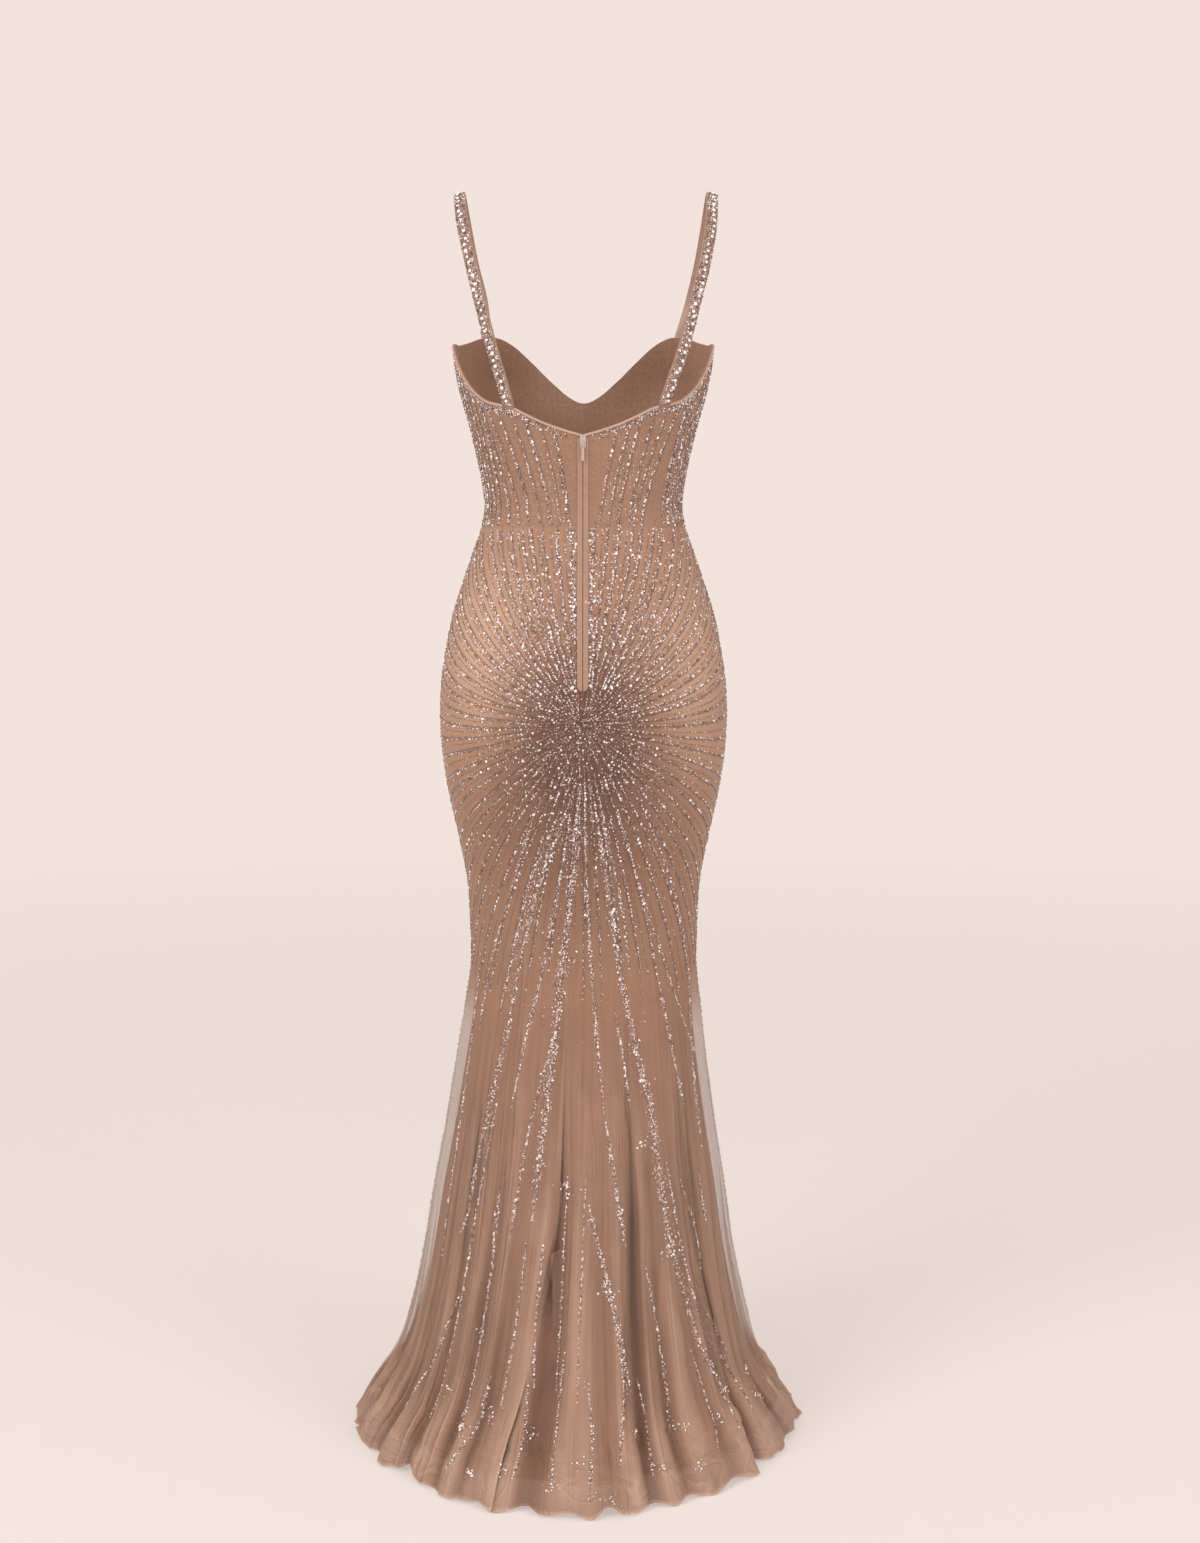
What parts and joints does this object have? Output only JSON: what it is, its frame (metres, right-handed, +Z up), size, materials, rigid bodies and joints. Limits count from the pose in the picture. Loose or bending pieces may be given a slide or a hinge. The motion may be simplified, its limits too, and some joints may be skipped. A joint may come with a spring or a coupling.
{
  "type": "evening gown",
  "caption": "Floor-length trumpet evening gown, hollow as worn: close bodice on narrow beaded straps, low back with a zip and hanging pull, and a folded skirt that spreads on the floor.",
  "frame": {"origin": "midway between the tops of the two shoulder straps, where the wearer's shoulders hold the gown", "axes": "+Z up along the body, +Y towards the wearer's front, -Y towards the back with the zip, +X towards the wearer's right as seen from behind"},
  "size_m": [0.5352, 0.6062, 1.4583],
  "materials": {
    "bodice_tulle": "beaded tulle over opaque cloth, soft sheen",
    "skirt_tulle": "sheer beaded tulle, soft sheen",
    "lining_satin": "opaque inner layer, satin",
    "strap_beading": "cloth covered with beads and stones, sparkling",
    "binding_satin": "plain satin binding",
    "zip_tape": "plain tulle over satin",
    "zip_metal": "nude lacquered metal, semi-gloss"
  },
  "bodies": {
    "gown": {"bodice_back_left": "bodice_tulle", "bodice_back_right": "bodice_tulle", "bodice_front": "bodice_tulle", "skirt_back_left": "skirt_tulle", "skirt_back_right": "skirt_tulle", "skirt_front": "skirt_tulle", "skirt_lining_back": "lining_satin", "skirt_lining_front": "lining_satin", "strap_left": "strap_beading", "strap_right": "strap_beading", "binding_neck_left": "binding_satin", "binding_neck_right": "binding_satin", "binding_arm_left": "binding_satin", "binding_arm_right": "binding_satin", "binding_front": "binding_satin", "zip_strip_left": "zip_tape", "zip_strip_right": "zip_tape", "zip_slider": "zip_metal"},
    "zip_pull": {"zip_pull": "zip_metal"}
  },
  "joints": [
    {"name": "pull_swing", "type": "hinge", "parent": "gown", "child": "zip_pull", "pos_m": [0, -0.09385, -0.2955], "axis": [-1, 0, 0], "range_deg": [-6, 165]}
  ]
}
